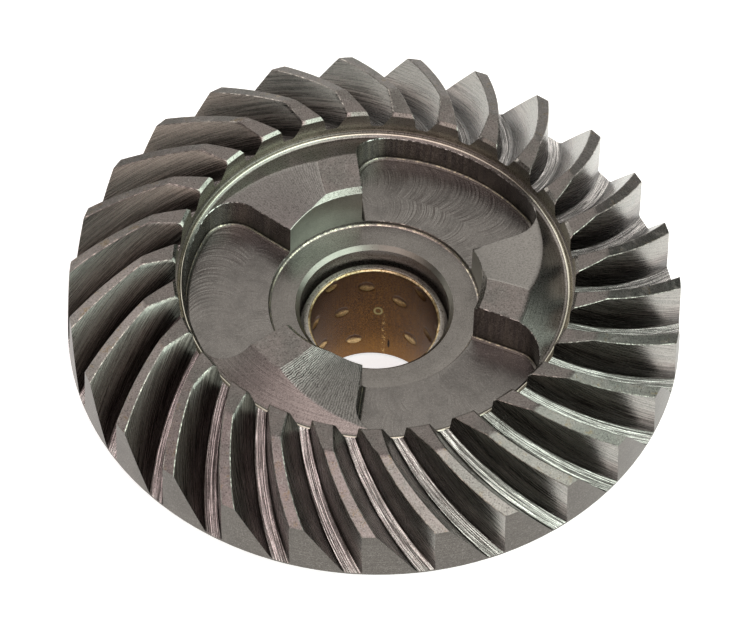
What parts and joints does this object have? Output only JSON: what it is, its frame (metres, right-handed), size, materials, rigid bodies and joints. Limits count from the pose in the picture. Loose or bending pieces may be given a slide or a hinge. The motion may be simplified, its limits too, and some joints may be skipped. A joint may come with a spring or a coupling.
{
  "type": "spiral bevel gear with clutch dogs",
  "caption": "Spiral bevel ring gear with ramped clutch dogs on its face, a bearing journal on its back and a pressed-in bronze-lined bush.",
  "frame": {"origin": "on the gear axis, in the plane of the hub's end face", "axes": "+Z along the gear axis from the hub's end face towards the teeth and dogs; the dogs repeat every 120 degrees about Z and one dog starts 98.4 degrees from +X towards +Y"},
  "size_m": [0.12, 0.12, 0.0444],
  "materials": {
    "gear_steel": "case-hardened steel, phosphate grey with ground root lands and machined faces",
    "bush_steel": "plain rolled steel backing",
    "bearing_bronze": "sintered bronze bearing layer, browned, with grease dimples"
  },
  "bodies": {
    "root": {"gear_body": "gear_steel", "bush_shell": "bush_steel", "bush_lining": "bearing_bronze"}
  },
  "joints": []
}
